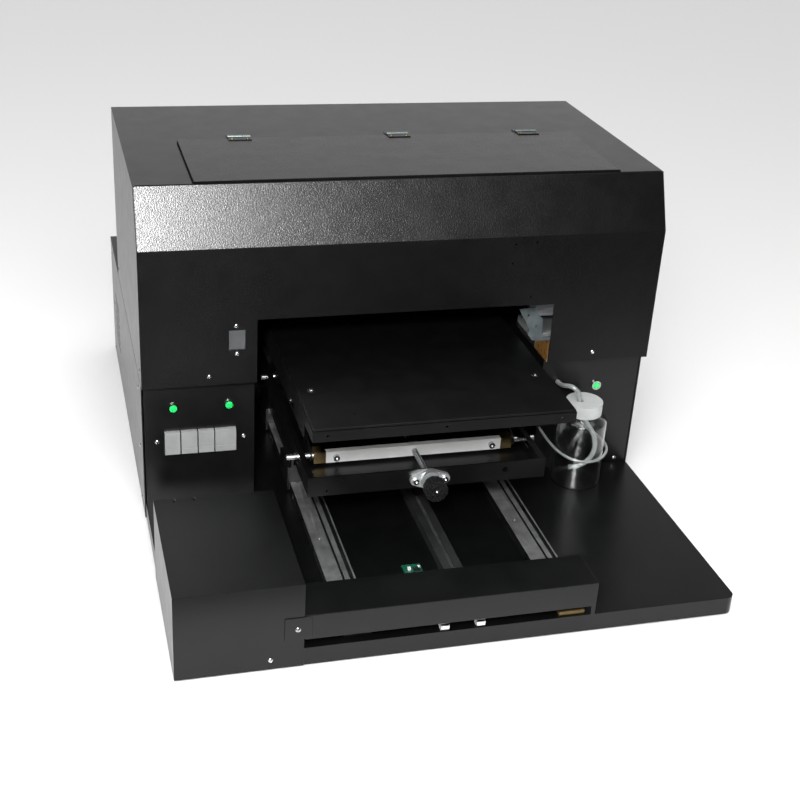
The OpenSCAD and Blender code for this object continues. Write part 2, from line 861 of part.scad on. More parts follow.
module rear_links() {
    color("#2c2d30")
        both_sides()
            translate([0, rear_pivot_y, pivot_z])
                rotate([-link_angle, 0, 0])
                    mirror([0, 1, 0]) {
                        link_bar(rear_link_x, shaft_r + 0.05, 0, 0);
                        x_rod(front_link_x - 1, rear_link_x + eps, link_len / 2, 0, mid_pin_r);
                        x_rod(rear_link_x + link_t - eps, platen_hw + 1, link_len, 0, shaft_r);
                    }
}

// Platen: folded frame with slotted side skirts, top plate and its screws
module platen_frame() {
    color("#1b1c1e")
        difference() {
            union() {
                slab([-platen_hw, platen_y0, platen_z - plate_t - sheet],
                    [platen_hw, platen_y1, platen_z - plate_t]);
                slab([-platen_hw, platen_y0, skirt_z], [platen_hw, platen_y0 + sheet, platen_z - plate_t]);
                slab([-platen_hw, platen_y1 - sheet, skirt_z], [platen_hw, platen_y1, platen_z - plate_t]);
                both_sides() {
                    slab([platen_hw - sheet, platen_y0, skirt_z], [platen_hw, platen_y1, platen_z - plate_t]);
                    slab([platen_hw - sheet, platen_y0 + 55, skirt_side_z],
                        [platen_hw, platen_y1 - 20, skirt_z + eps]);
                }
            }
            both_sides() {
                x_slot(platen_hw - 3, platen_hw + 3, front_pivot_y - 18, front_pivot_y + 4, top_pivot_z,
                    shaft_r + 0.4);
                x_slot(platen_hw - 3, platen_hw + 3, rear_pivot_y - 2, rear_pivot_y + 2, top_pivot_z,
                    shaft_r + 0.4);
            }
            for (x = [-153, -1, 153])
                y_rod(x, platen_y0 - 1, platen_y0 + sheet + 1, platen_z - 10, 1.6);
        }
}

module platen_plate() {
    color("#0f1011")
        difference() {
            slab([-platen_hw + 1, platen_y0 + 1, platen_z - plate_t],
                [platen_hw - 1, platen_y1 - 1, platen_z]);
            for (x = [-153, 153], y = [platen_y0 + 106, platen_y1 - 106])
                z_rod(x, y, platen_z - 2.5, platen_z + 1, 5.6);
            for (x = [-108, 108])
                z_rod(x, platen_y0 + 303, platen_z - 2, platen_z + 1, 2);
            for (x = [-112, 112])
                z_rod(x, platen_y0 + 33, platen_z - 2, platen_z + 1, 1.5);
        }
}

module platen_screws() {
    color("silver")
        for (x = [-153, 153], y = [platen_y0 + 106, platen_y1 - 106])
            difference() {
                z_rod(x, y, platen_z - 2.5, platen_z - 0.3, 5);
                z_rod(x, y, platen_z - 1.6, platen_z + 1, 1.8);
            }
}

// Keys and push buttons
module key(i) {
    x0 = key_x[i][0];
    x1 = key_x[i][1];
    color("#9da0a2")
        difference() {
            slab([x0, leg_y - key_proud, key_z0], [x1, leg_y + 6, key_z1]);
            slab([x0 + 2, leg_y - key_proud - 1, key_z0 + 9], [x1 - 2, leg_y - key_proud + 0.6, key_z0 + 10]);
        }
}

module key_1() {
    key(0);
}

module key_2() {
    key(1);
}

module key_3() {
    key(2);
}

module key_4() {
    key(3);
}

module switch_block() {
    color("#27292b")
        slab([key_x[0][0] - 8, leg_y + 10, key_z0 - 6], [key_x[3][1] + 8, leg_y + 26, key_z1 + 6]);
}

module button_bezels() {
    color("#c4c6c8")
        for (at = button_at)
            difference() {
                union() {
                    y_rod(at[0], leg_y - 2.5, leg_y, at[1], button_r + 2);
                    y_rod(at[0], leg_y - eps, leg_y + 20, at[1], button_r + 0.9);
                }
                y_rod(at[0], leg_y - 4, leg_y + 21, at[1], button_r + button_fit);
            }
}

module push_button(i) {
    at = button_at[i];
    color("#28d56c") {
        y_rod(at[0], leg_y - 3, leg_y + 14, at[1], button_r);
        y_rod(at[0], leg_y - 3.8, leg_y - 3 + eps, at[1], button_r * 0.75);
    }
}

module button_left() {
    push_button(0);
}

module button_middle() {
    push_button(1);
}

module button_right() {
    push_button(2);
}

// Print mechanism under the hood
module mech_chassis() {
    color("#8f979c")
        difference() {
            union() {
                slab([-mech_hw, mech_y1 - 2, mech_z0], [mech_hw, mech_y1, mech_z1]);
                slab([-mech_hw, mech_y1 - 30, mech_z1 - 2], [mech_hw, mech_y1, mech_z1]);
                both_sides() {
                    slab([mech_hw, mech_y0, leg_z], [mech_hw + 2, mech_y1, mech_z1]);
                    slab([mech_hw, mech_y0, leg_z], [mech_hw + 22, mech_y1, leg_z + 2]);
                }
            }
            both_sides()
                x_rod(mech_hw - 1, mech_hw + 3, rod_y, rod_z, rod_r);
        }
}

module guide_rod() {
    color("#c9cbcc")
        x_rod(-mech_hw - 2, mech_hw + 2, rod_y, rod_z, rod_r);
}

module head_carriage() {
    color("#232427")
        difference() {
            union() {
                slab([head_x0, head_y0, head_z0 + 21], [head_x1, head_y1, head_z1]);
                slab([head_x0 + 30, head_y1 - 20, head_z1 - eps], [head_x1 - 30, head_y1 - 16, head_z1 + 25]);
            }
            x_rod(head_x0 - 1, head_x1 + 1, rod_y, rod_z, rod_r + 0.05);
            slab([head_x0 + 6, head_y0 + 6, head_z0 + 60], [head_x1 - 6, rod_y - 16, head_z1 + 1]);
        }
}

module print_head() {
    color("#b8bbbe") {
        slab([head_x0 + 25, head_y0 + 8, head_z0], [head_x0 + 75, head_y0 + 50, head_z0 + 21]);
        slab([head_x0 + 20, head_y0 + 4, head_z0 + 12], [head_x0 + 80, head_y0 + 54, head_z0 + 21]);
    }
}

module cap_station() {
    bracket_y = hood_y + 57;
    color("#8796a0") {
        difference() {
            along_y(bracket_y, bracket_y + 2)
                polygon([
                    [179, 268], [204, 270], [206.5, 261], [217, 251], [218, leg_z + 14],
                    [204, leg_z + 11], [196, leg_z + 21], [196.5, leg_z + 32]
                ]);
            for (at = [[194, 258], [207, 240]])
                y_rod(at[0], bracket_y - 1, bracket_y + 3, at[1], 1.6);
        }
        slab([leg_in, bracket_y, leg_z], [290, bracket_y + 2, leg_z + 16]);
    }
    color("#e3e5e2") {
        slab([224, hood_y + 75, leg_z], [236, hood_y + 83, leg_z + 14]);
        slab([215, hood_y + 85, leg_z], [285, hood_y + 150, leg_z + 12]);
    }
    color("#b98a3a")
        along_x(leg_in, leg_in + 2)
            polygon([
                [hood_y + 8, leg_z], [hood_y + 8, leg_z + 34], [hood_y + 32, leg_z + 23],
                [bracket_y - 1, leg_z + 11], [bracket_y - 1, leg_z]
            ]);
}

// Cooling fan, mains inlet and rocker switch on the rear panel
module fan_frame() {
    color("#111214") {
        difference() {
            slab([fan_x - 40, pan_y1 - 25, fan_z - 40], [fan_x + 40, pan_y1, fan_z + 40]);
            y_rod(fan_x, pan_y1 - 26, pan_y1 + 1, fan_z, 37);
        }
        slab([fan_x - 38, pan_y1 - 25, fan_z - 2], [fan_x + 38, pan_y1 - 22, fan_z + 2]);
        slab([fan_x - 2, pan_y1 - 25, fan_z - 38], [fan_x + 2, pan_y1 - 22, fan_z + 38]);
        y_rod(fan_x, pan_y1 - 25, pan_y1 - 22, fan_z, 14);
        y_rod(fan_x, pan_y1 - 22 - eps, pan_y1 - 6, fan_z, 2);
    }
}

module fan_rotor() {
    color("#18191b")
        difference() {
            union() {
                y_rod(fan_x, pan_y1 - 20, pan_y1 - 4, fan_z, 14);
                for (a = [0:360 / 7:359])
                    translate([fan_x, 0, fan_z])
                        rotate([0, a, 0])
                            translate([0, pan_y1 - 12, 0])
                                rotate([35, 0, 0])
                                    slab([12, -1, -7], [35.5, 1, 7]);
            }
            y_rod(fan_x, pan_y1 - 21, pan_y1 - 5, fan_z, 2.05);
        }
}

module power_inlet() {
    color("#1a1a1b")
        difference() {
            union() {
                slab([251.2, pan_y1 - 20, 56.2], [278.8, rear_y + eps, 75.8]);
                slab([247, rear_y, 52], [283, rear_y + 3, 108]);
                slab([255.2, pan_y1 - 16, rocker_z - 7.8], [274.8, rear_y + eps, rocker_z + 7.8]);
            }
            slab([254, pan_y1 - 16, 59], [276, rear_y + 4, 73]);
            slab([256.7, pan_y1 - 12, rocker_z - 6.3], [273.3, rear_y + 4, rocker_z + 6.3]);
        }
    color("#c9cbcc")
        for (x = [259, 265, 271])
            slab([x - 1, pan_y1 - 16 - eps, 64], [x + 1, rear_y - 2, 68]);
}

// The rocker turns about an axis along X; its face has two flats that meet at the middle
module power_rocker() {
    color("#8d1f1c")
        along_x(257, 273)
            polygon([
                [rocker_y - 4, rocker_z - 2], [rocker_y + 3.6, rocker_z - 5.6],
                [rocker_y + 2.6, rocker_z], [rocker_y + 3.6, rocker_z + 5.6],
                [rocker_y - 4, rocker_z + 2]
            ]);
}

// Clear waste bottle, its screw cap, and the two tubes
module waste_bottle() {
    wall = 1.6;
    top = base_h + bottle_h;
    color("#dfe6e8", 0.4)
        translate([bottle_x, bottle_y, 0])
            rotate_extrude()
                polygon([
                    [0, base_h], [bottle_r - 3, base_h], [bottle_r, base_h + 3],
                    [bottle_r, top - 14], [bottle_r - 2, top - 9], [neck_r, top - 3],
                    [neck_r, top + 12], [neck_r - wall, top + 12], [neck_r - wall, top - 4],
                    [bottle_r - wall - 2, top - 10], [bottle_r - wall, top - 15],
                    [bottle_r - wall, base_h + 4], [bottle_r - 4, base_h + 2], [0, base_h + 2]
                ]);
}

module bottle_cap() {
    cap_z = base_h + bottle_h;
    color("#f2f3f1")
        translate([bottle_x, bottle_y, 0])
            difference() {
                z_rod(0, 0, cap_z, cap_z + cap_h, cap_r);
                z_rod(0, 0, cap_z - 1, cap_z + 12, neck_r);
                z_rod(-6.5, 0, cap_z, cap_z + cap_h + 1, tube_r + 1.2);
            }
}

module waste_tube() {
    color("#e4e8e6")
        tube(smooth_route(waste_route, 2), tube_r, tube_sides);
}

module drain_tube() {
    color("#e4e8e6")
        tube(smooth_route(drain_route, 2), drain_r, tube_sides);
}

base_pan();
feet();
left_box_cover();
front_cover();
left_leg();
right_leg();
side_panels();
rear_panel();
rear_cover();
hood_shell();
hood_front();
window_plate();
top_lid();
hinge_fixed_leaves();
hinge_lid_leaves();
body_screws();
rails();
belt_channel();
drive_belt();
idler_pulley();
motor_pulley();
y_motor();
base_fittings();
table_carriage();
belt_clamp();
lift_tray();
rear_shaft();
flange_bearing();
lift_bar();
front_shafts();
brass_fittings();
lead_screw();
lift_knob();
front_links();
rear_links();
platen_frame();
platen_plate();
platen_screws();
key_1();
key_2();
key_3();
key_4();
switch_block();
button_bezels();
button_left();
button_middle();
button_right();
mech_chassis();
guide_rod();
head_carriage();
print_head();
cap_station();
fan_frame();
fan_rotor();
power_inlet();
power_rocker();
waste_bottle();
bottle_cap();
waste_tube();
drain_tube();
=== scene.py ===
"""Looks of the flatbed UV printer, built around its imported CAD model. Metres, +Z up."""

import json
import math

import bmesh
import bpy
from mathutils import Matrix, Vector


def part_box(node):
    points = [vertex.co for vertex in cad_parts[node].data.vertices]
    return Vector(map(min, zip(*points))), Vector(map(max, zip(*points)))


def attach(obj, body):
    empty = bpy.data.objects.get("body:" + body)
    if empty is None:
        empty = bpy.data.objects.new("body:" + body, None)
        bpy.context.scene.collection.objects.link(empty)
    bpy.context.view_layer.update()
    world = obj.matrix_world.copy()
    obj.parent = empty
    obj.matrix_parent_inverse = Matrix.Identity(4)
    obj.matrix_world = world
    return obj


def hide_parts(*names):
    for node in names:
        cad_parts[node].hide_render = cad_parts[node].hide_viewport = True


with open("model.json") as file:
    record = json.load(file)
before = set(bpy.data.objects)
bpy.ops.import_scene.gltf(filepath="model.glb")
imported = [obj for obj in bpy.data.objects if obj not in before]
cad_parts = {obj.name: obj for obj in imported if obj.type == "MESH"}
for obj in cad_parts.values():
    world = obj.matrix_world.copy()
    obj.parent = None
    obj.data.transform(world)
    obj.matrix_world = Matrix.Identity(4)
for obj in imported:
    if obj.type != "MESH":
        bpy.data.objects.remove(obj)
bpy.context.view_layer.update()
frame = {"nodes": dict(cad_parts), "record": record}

MM = 0.001
SCENE = bpy.context.scene.collection

# Camera: place, angles in radians and lens in millimetres
CAMERA_AT = Vector((-0.47285, -1.70231, 1.00661))
CAMERA_YAW = -0.286556
CAMERA_PITCH = -0.471551
CAMERA_ROLL = 0.06148
CAMERA_LENS = 59.886
CAMERA_SENSOR = 36.0

# Routes of the two tubes, in metres, as the CAD has them
WASTE_ROUTE = [
    (0.234, -0.098, 0.168), (0.234, -0.112, 0.169), (0.235, -0.124, 0.172), (0.238, -0.134, 0.176),
    (0.242, -0.141, 0.177), (0.247, -0.145, 0.173), (0.251, -0.146, 0.166), (0.253, -0.146, 0.157),
    (0.255, -0.146, 0.146), (0.260, -0.146, 0.133), (0.268, -0.146, 0.120), (0.277, -0.146, 0.107),
    (0.284, -0.146, 0.093), (0.286, -0.146, 0.078), (0.282, -0.146, 0.064), (0.273, -0.146, 0.054),
    (0.261, -0.146, 0.049), (0.249, -0.146, 0.049),
]
DRAIN_ROUTE = [
    (0.214, -0.096, 0.094), (0.214, -0.111, 0.093), (0.215, -0.126, 0.091), (0.218, -0.143, 0.088),
    (0.223, -0.160, 0.085), (0.232, -0.174, 0.082), (0.244, -0.183, 0.080), (0.258, -0.186, 0.079),
    (0.272, -0.184, 0.079), (0.285, -0.177, 0.080), (0.295, -0.166, 0.082), (0.300, -0.152, 0.084),
    (0.299, -0.137, 0.087), (0.293, -0.124, 0.090), (0.284, -0.114, 0.093), (0.277, -0.107, 0.095),
    (0.273, -0.101, 0.096), (0.273, -0.094, 0.096),
]
WASTE_TUBE_R = 3.4 * MM
DRAIN_TUBE_R = 1.9 * MM

# Floor and light, in metres and watts
FLOOR_REACH = 60.0
FLAG_EDGE_Y = -0.60
FLAG_HEIGHT = 4 * MM
LIGHT_AIM = (-0.2, -0.1, 0.3)
FLASH_AT, FLASH_SIZE, FLASH_POWER = (-0.585, -1.68, 1.27), (0.16, 0.16), 185
FILL_AT, FILL_SIZE, FILL_POWER = (-0.6, -1.9, 1.6), (1.6, 1.2), 70
OVERHEAD_STRENGTH, OVERHEAD_ANGLE = 1.9, 70
# The world's brightness, as from and to of the direction, then the brightness at each
SKY_BY_HEIGHT = (0.24, 0.60, 1.0, 0.14)
SKY_BY_DEPTH = (-0.35, 0.55, 0.012, 0.84)

# How the CAD's faces are joined up and its edges rounded, angles in degrees
SAME_PLACE = 0.002 * MM
FLAT_ANGLE = 0.8
FOLD_ANGLE = 40.0
ROUND_PROFILE = 0.6


# Camera, floor and light
def make_camera():
    """The camera, turned from its yaw, pitch and roll."""
    forward = Vector((
        -math.sin(CAMERA_YAW) * math.cos(CAMERA_PITCH),
        math.cos(CAMERA_YAW) * math.cos(CAMERA_PITCH),
        math.sin(CAMERA_PITCH),
    ))
    level = Vector((math.cos(CAMERA_YAW), math.sin(CAMERA_YAW), 0))
    upright = level.cross(forward)
    right = math.cos(CAMERA_ROLL) * level + math.sin(CAMERA_ROLL) * upright
    up = math.cos(CAMERA_ROLL) * upright - math.sin(CAMERA_ROLL) * level
    camera = bpy.data.objects.new("camera", bpy.data.cameras.new("camera"))
    camera.data.lens = CAMERA_LENS
    camera.data.sensor_width = CAMERA_SENSOR
    turn = Matrix((right, up, -forward)).transposed().to_4x4()
    camera.matrix_world = Matrix.Translation(CAMERA_AT) @ turn
    SCENE.objects.link(camera)
    bpy.context.scene.camera = camera


def area_light(name, at, aim, size, power):
    """A rectangular lamp that faces a point."""
    light = bpy.data.lights.new(name, "AREA")
    light.shape = "RECTANGLE"
    light.size, light.size_y = size
    light.energy = power
    lamp = bpy.data.objects.new(name, light)
    lamp.location = at
    lamp.rotation_euler = (Vector(aim) - Vector(at)).to_track_quat("-Z", "Y").to_euler()
    SCENE.objects.link(lamp)
    return lamp


def plain_sheet(name, low, high, z, shade):
    """A flat stage sheet between two corners."""
    mesh = bpy.data.meshes.new(name)
    corners = [(low[0], low[1], z), (high[0], low[1], z), (high[0], high[1], z), (low[0], high[1], z)]
    mesh.from_pydata(corners, [], [(0, 1, 2, 3)])
    sheet = bpy.data.objects.new(name, mesh)
    SCENE.objects.link(sheet)
    paper = bpy.data.materials.new(name + "_paper")
    paper.use_nodes = True
    shader = paper.node_tree.nodes["Principled BSDF"]
    shader.inputs["Base Color"].default_value = (shade, shade, shade, 1)
    shader.inputs["Roughness"].default_value = 0.9
    mesh.materials.append(paper)
    return sheet


def make_world():
    """A white studio: bright low down at the back, dim overhead and in front."""
    world = bpy.data.worlds.new("studio")
    bpy.context.scene.world = world
    world.use_nodes = True
    tree = world.node_tree
    background = tree.nodes["Background"]
    direction = tree.nodes.new("ShaderNodeTexCoord")
    split = tree.nodes.new("ShaderNodeSeparateXYZ")
    tree.links.new(direction.outputs["Generated"], split.inputs["Vector"])

    def ramp(value, stops):
        made = tree.nodes.new("ShaderNodeMapRange")
        made.interpolation_type = "SMOOTHSTEP"
        for name, number in zip(("From Min", "From Max", "To Min", "To Max"), stops):
            made.inputs[name].default_value = number
        tree.links.new(value, made.inputs["Value"])
        return made.outputs["Result"]

    up = ramp(split.outputs["Z"], SKY_BY_HEIGHT)
    back = ramp(split.outputs["Y"], SKY_BY_DEPTH)
    level = tree.nodes.new("ShaderNodeMath")
    level.operation = "MULTIPLY"
    tree.links.new(up, level.inputs[0])
    tree.links.new(back, level.inputs[1])
    path = tree.nodes.new("ShaderNodeLightPath")
    strength = tree.nodes.new("ShaderNodeMath")
    strength.operation = "MAXIMUM"
    tree.links.new(level.outputs["Value"], strength.inputs[0])
    tree.links.new(path.outputs["Is Camera Ray"], strength.inputs[1])
    tree.links.new(strength.outputs["Value"], background.inputs["Strength"])
    background.inputs["Color"].default_value = (1, 1, 1, 1)


def make_studio():
    """A pale floor, a dark flag that only reflections see, a flash for gloss and two soft lights."""
    far = FLOOR_REACH
    plain_sheet("floor", (-far, -far), (far, far), 0, 0.9)
    flag = plain_sheet("front_flag", (-far, -far), (far, FLAG_EDGE_Y), FLAG_HEIGHT, 0.02)
    for seen_by in ("camera", "diffuse", "transmission", "shadow"):
        setattr(flag, "visible_" + seen_by, False)
    make_world()
    flash = area_light("flash", FLASH_AT, LIGHT_AIM, FLASH_SIZE, FLASH_POWER)
    flash.visible_diffuse = False
    fill = area_light("fill", FILL_AT, LIGHT_AIM, FILL_SIZE, FILL_POWER)
    fill.visible_glossy = False
    overhead = bpy.data.lights.new("overhead", "SUN")
    overhead.energy = OVERHEAD_STRENGTH
    overhead.angle = math.radians(OVERHEAD_ANGLE)
    SCENE.objects.link(bpy.data.objects.new("overhead", overhead))
    bpy.context.scene.view_settings.view_transform = "Standard"


# Building blocks of the materials
class Paint:
    """A material under construction: its node tree and its Principled shader."""

    def __init__(self, name, base, roughness, metallic=0.0):
        self.material = bpy.data.materials.new(name)
        self.material.use_nodes = True
        self.tree = self.material.node_tree
        self.shader = self.tree.nodes["Principled BSDF"]
        self.set("Base Color", (*base, 1))
        self.set("Roughness", roughness)
        self.set("Metallic", metallic)

    def set(self, socket, value):
        self.shader.inputs[socket].default_value = value

    def node(self, kind, **values):
        made = self.tree.nodes.new(kind)
        for name, value in values.items():
            setattr(made, name, value)
        return made

    def link(self, source, target):
        self.tree.links.new(source, target)

    def noise(self, feature, detail=3.0, rough=0.55, stretch=(1, 1, 1)):
        """Noise with features of that size in metres, longer along the axes with a small stretch."""
        where = self.node("ShaderNodeTexCoord")
        mapping = self.node("ShaderNodeMapping")
        mapping.inputs["Scale"].default_value = [s / feature for s in stretch]
        texture = self.node("ShaderNodeTexNoise")
        texture.inputs["Scale"].default_value = 1.0
        texture.inputs["Detail"].default_value = detail
        texture.inputs["Roughness"].default_value = rough
        self.link(where.outputs["Object"], mapping.inputs["Vector"])
        self.link(mapping.outputs["Vector"], texture.inputs["Vector"])
        return texture.outputs["Fac"]

    def spread(self, value, low, high, start=0.35, end=0.65):
        """Turns a noise value from start to end into a number or colour from low to high."""
        ramp = self.node("ShaderNodeValToRGB")
        for element, at, level in zip(ramp.color_ramp.elements, (start, end), (low, high)):
            element.position = at
            element.color = (*level, 1) if hasattr(level, "__len__") else (level, level, level, 1)
        self.link(value, ramp.inputs["Fac"])
        return ramp.outputs["Color"]

    def bump(self, value, strength, depth):
        made = self.node("ShaderNodeBump")
        made.inputs["Strength"].default_value = strength
        made.inputs["Distance"].default_value = depth
        self.link(value, made.inputs["Height"])
        if self.shader.inputs["Normal"].is_linked:
            before = self.shader.inputs["Normal"].links[0].from_socket
            self.link(before, made.inputs["Normal"])
        self.link(made.outputs["Normal"], self.shader.inputs["Normal"])

    def colour_from(self, socket):
        self.link(socket, self.shader.inputs["Base Color"])

    def roughness_from(self, socket):
        self.link(socket, self.shader.inputs["Roughness"])


def powder_coat(name, dark, light, grain, depth, roughness, gloss=0.36):
    """Black powder coat: fine orange peel over a coarser, cloudy gloss."""
    paint = Paint(name, dark, roughness[0])
    paint.set("Specular IOR Level", gloss)
    cloud = paint.noise(0.05, 4.0)
    paint.colour_from(paint.spread(cloud, dark, light))
    patches = paint.noise(0.03, 3.0)
    paint.roughness_from(paint.spread(patches, roughness[0], roughness[1]))
    paint.bump(paint.noise(grain, 1.0, 0.5), 0.8, depth)
    return paint.material


def bare_metal(name, dark, light, roughness, stretch, metallic=1.0, grain=0.0012):
    """Metal with a lay of fine lines along the axes with a small stretch."""
    paint = Paint(name, dark, roughness[0], metallic)
    lines = paint.noise(grain, 3.0, 0.6, stretch)
    paint.colour_from(paint.spread(paint.noise(0.02, 4.0), dark, light))
    paint.roughness_from(paint.spread(lines, roughness[0], roughness[1]))
    paint.bump(lines, 0.25, 0.00006)
    return paint.material


def moulded(name, dark, light, roughness, depth=0.00005, grain=0.0009, coat=0.0, gloss=0.5):
    """Moulded plastic or rubber with a fine spark-eroded grain."""
    paint = Paint(name, dark, roughness[0])
    paint.set("Coat Weight", coat)
    paint.set("Specular IOR Level", gloss)
    paint.colour_from(paint.spread(paint.noise(0.03, 3.0), dark, light))
    paint.roughness_from(paint.spread(paint.noise(0.006, 2.0), roughness[0], roughness[1]))
    paint.bump(paint.noise(grain, 2.0), 0.35, depth)
    return paint.material


def clear_plastic(name):
    """Blown clear plastic with faint waves."""
    paint = Paint(name, (0.97, 0.985, 0.985), 0.04)
    paint.set("Transmission Weight", 1.0)
    paint.set("IOR", 1.4)
    paint.roughness_from(paint.spread(paint.noise(0.012, 2.0), 0.02, 0.09))
    paint.bump(paint.noise(0.02, 2.0), 0.15, 0.0006)
    return paint.material


def milky_tube(name):
    """Silicone that lets a little light through."""
    paint = Paint(name, (0.36, 0.38, 0.38), 0.3)
    paint.set("Transmission Weight", 0.35)
    paint.set("Subsurface Weight", 0.25)
    paint.set("Subsurface Radius", (0.003, 0.003, 0.003))
    paint.colour_from(paint.spread(paint.noise(0.012, 2.0), (0.30, 0.32, 0.32), (0.42, 0.44, 0.44)))
    paint.bump(paint.noise(0.004, 2.0), 0.2, 0.0001)
    return paint.material


def lit_button(name):
    """Green lens that glows faintly."""
    paint = Paint(name, (0.01, 0.55, 0.12), 0.25)
    paint.set("Emission Color", (0.02, 1.0, 0.12, 1))
    paint.set("Emission Strength", 0.22)
    paint.set("Coat Weight", 0.6)
    glow = paint.spread(paint.noise(0.004, 2.0), (0.005, 0.50, 0.10), (0.03, 0.75, 0.22))
    paint.colour_from(glow)
    paint.bump(paint.noise(0.0008, 2.0), 0.15, 0.00005)
    return paint.material


def make_materials():
    black = (0.0018, 0.0020, 0.0020)
    grey_black = (0.0030, 0.0033, 0.0033)
    deep = (0.0010, 0.0011, 0.0011)
    along_x, along_y, along_z, no_lay = (0.02, 1, 1), (1, 0.02, 1), (1, 1, 0.02), (1, 1, 1)
    made = [
        powder_coat("black_powder", black, grey_black, 0.0017, 0.00007, (0.285, 0.315)),
        powder_coat("black_texture", deep, black, 0.0013, 0.00036, (0.30, 0.33), 0.29),
        powder_coat("black_satin", deep, black, 0.0017, 0.00003, (0.32, 0.36)),
        powder_coat("lid_paint", black, grey_black, 0.0017, 0.00005, (0.26, 0.29), 0.38),
        powder_coat("black_steel", black, (0.008, 0.0085, 0.009), 0.0016, 0.00004, (0.26, 0.36), 0.45),
        powder_coat("channel_steel", (0.013, 0.0135, 0.014), (0.019, 0.02, 0.02), 0.0016, 0.00004,
                    (0.4, 0.5)),
        powder_coat("platen_anodised", (0.0008, 0.0009, 0.0009), deep, 0.0014, 0.00002, (0.32, 0.36)),
        powder_coat("motor_housing", black, grey_black, 0.0014, 0.00008, (0.40, 0.50)),
        moulded("smoked_window", (0.065, 0.07, 0.073), (0.085, 0.09, 0.093), (0.3, 0.45)),
        moulded("belt_rubber", (0.005, 0.005, 0.005), (0.010, 0.010, 0.010), (0.6, 0.8)),
        moulded("fitting_nylon", (0.62, 0.63, 0.60), (0.80, 0.80, 0.77), (0.4, 0.55)),
        moulded("black_plastic", (0.006, 0.006, 0.006), (0.013, 0.013, 0.013), (0.30, 0.46)),
        moulded("key_grey", (0.30, 0.31, 0.31), (0.36, 0.37, 0.37), (0.34, 0.40)),
        moulded("rocker_red", (0.28, 0.012, 0.01), (0.40, 0.02, 0.015), (0.2, 0.3), coat=0.5),
        moulded("white_plastic", (0.50, 0.52, 0.52), (0.58, 0.59, 0.59), (0.30, 0.42)),
        # foot_rubber is the feet's own rubber and also the near-black of the strips that paint shade in
        # the lid's and hood's gaps
        moulded("foot_rubber", (0.002, 0.002, 0.002), (0.004, 0.004, 0.004), (0.8, 0.95), gloss=0.04),
        bare_metal("screw_steel", (0.34, 0.35, 0.35), (0.46, 0.47, 0.47), (0.16, 0.28), no_lay),
        bare_metal("rail_aluminium", (0.20, 0.205, 0.205), (0.31, 0.315, 0.31), (0.34, 0.52), along_y,
                   metallic=0.8),
        bare_metal("machined_aluminium", (0.86, 0.87, 0.85), (0.93, 0.94, 0.91), (0.30, 0.46), along_x,
                   metallic=0.1),
        bare_metal("shaft_steel", (0.52, 0.53, 0.54), (0.70, 0.71, 0.72), (0.22, 0.36), along_y),
        bare_metal("cast_housing", (0.42, 0.43, 0.44), (0.58, 0.59, 0.60), (0.38, 0.56), no_lay),
        bare_metal("brass", (0.13, 0.095, 0.045), (0.22, 0.16, 0.075), (0.34, 0.5), along_x),
        bare_metal("chrome_trim", (0.30, 0.31, 0.31), (0.40, 0.41, 0.41), (0.12, 0.22), no_lay),
        bare_metal("zinc_plate", (0.13, 0.16, 0.17), (0.21, 0.25, 0.26), (0.34, 0.5), along_z,
                   metallic=0.6),
        bare_metal("head_metal", (0.36, 0.37, 0.39), (0.50, 0.51, 0.53), (0.3, 0.42), along_x),
        moulded("amber_film", (0.20, 0.085, 0.02), (0.30, 0.15, 0.04), (0.25, 0.35), coat=0.4),
        moulded("board_green", (0.003, 0.07, 0.04), (0.006, 0.12, 0.07), (0.3, 0.4), coat=0.4),
        lit_button("button_green"),
        clear_plastic("clear_plastic"),
        milky_tube("tube_silicone"),
    ]
    # the loaded CAD holds materials of the same names, so Blender has put a number behind these
    return {material.name.split(".")[0]: material for material in made}


# Building blocks of the pieces
def body_of(node):
    for body, nodes in frame["record"]["behaviour"]["bodies"].items():
        if node in nodes:
            return body
    raise ValueError(node)


def slot_of(node):
    for row in frame["record"]["subparts"]:
        if row["node"] == node:
            return row["material_slot"]
    raise ValueError(node)


def merged(node):
    """The CAD node's mesh as a bmesh, with its flat faces joined up again."""
    bm = bmesh.new()
    bm.from_mesh(frame["nodes"][node].data)
    bmesh.ops.remove_doubles(bm, verts=bm.verts, dist=SAME_PLACE)
    bmesh.ops.dissolve_limit(bm, angle_limit=math.radians(FLAT_ANGLE), verts=bm.verts, edges=bm.edges)
    return bm


def piece_from(bm, name, body, slot, sharp=35.0):
    """Turns a bmesh into a piece on a body, with the slot's material and smooth shading under an angle."""
    bmesh.ops.recalc_face_normals(bm, faces=bm.faces)
    mesh = bpy.data.meshes.new(name)
    bm.to_mesh(mesh)
    bm.free()
    for spare in [a.name for a in mesh.attributes if a.name == "custom_normal"]:
        mesh.attributes.remove(mesh.attributes[spare])
    mesh.polygons.foreach_set("use_smooth", [True] * len(mesh.polygons))
    mesh.set_sharp_from_angle(angle=math.radians(sharp))
    mesh.materials.append(MATERIALS[slot])
    piece = bpy.data.objects.new(name, mesh)
    SCENE.objects.link(piece)
    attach(piece, body)
    return piece


def soften(node, width, fold=FOLD_ANGLE, shortest=3 * MM, segments=2):
    """Replaces a CAD node by a copy whose long sharp edges are rounded, as folded and painted sheet is."""
    bm = merged(node)

    def is_fold(edge):
        if len(edge.link_faces) != 2 or edge.calc_length() <= shortest:
            return False
        return edge.calc_face_angle(0) > math.radians(fold)

    bmesh.ops.bevel(
        bm, geom=[edge for edge in bm.edges if is_fold(edge)], offset=width, segments=segments,
        profile=ROUND_PROFILE, affect="EDGES", clamp_overlap=True,
    )
    piece = piece_from(bm, node + "_detail", body_of(node), slot_of(node), min(FOLD_ANGLE, fold))
    even = piece.modifiers.new("even_normals", "WEIGHTED_NORMAL")
    even.keep_sharp = True
    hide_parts(node)
    return piece


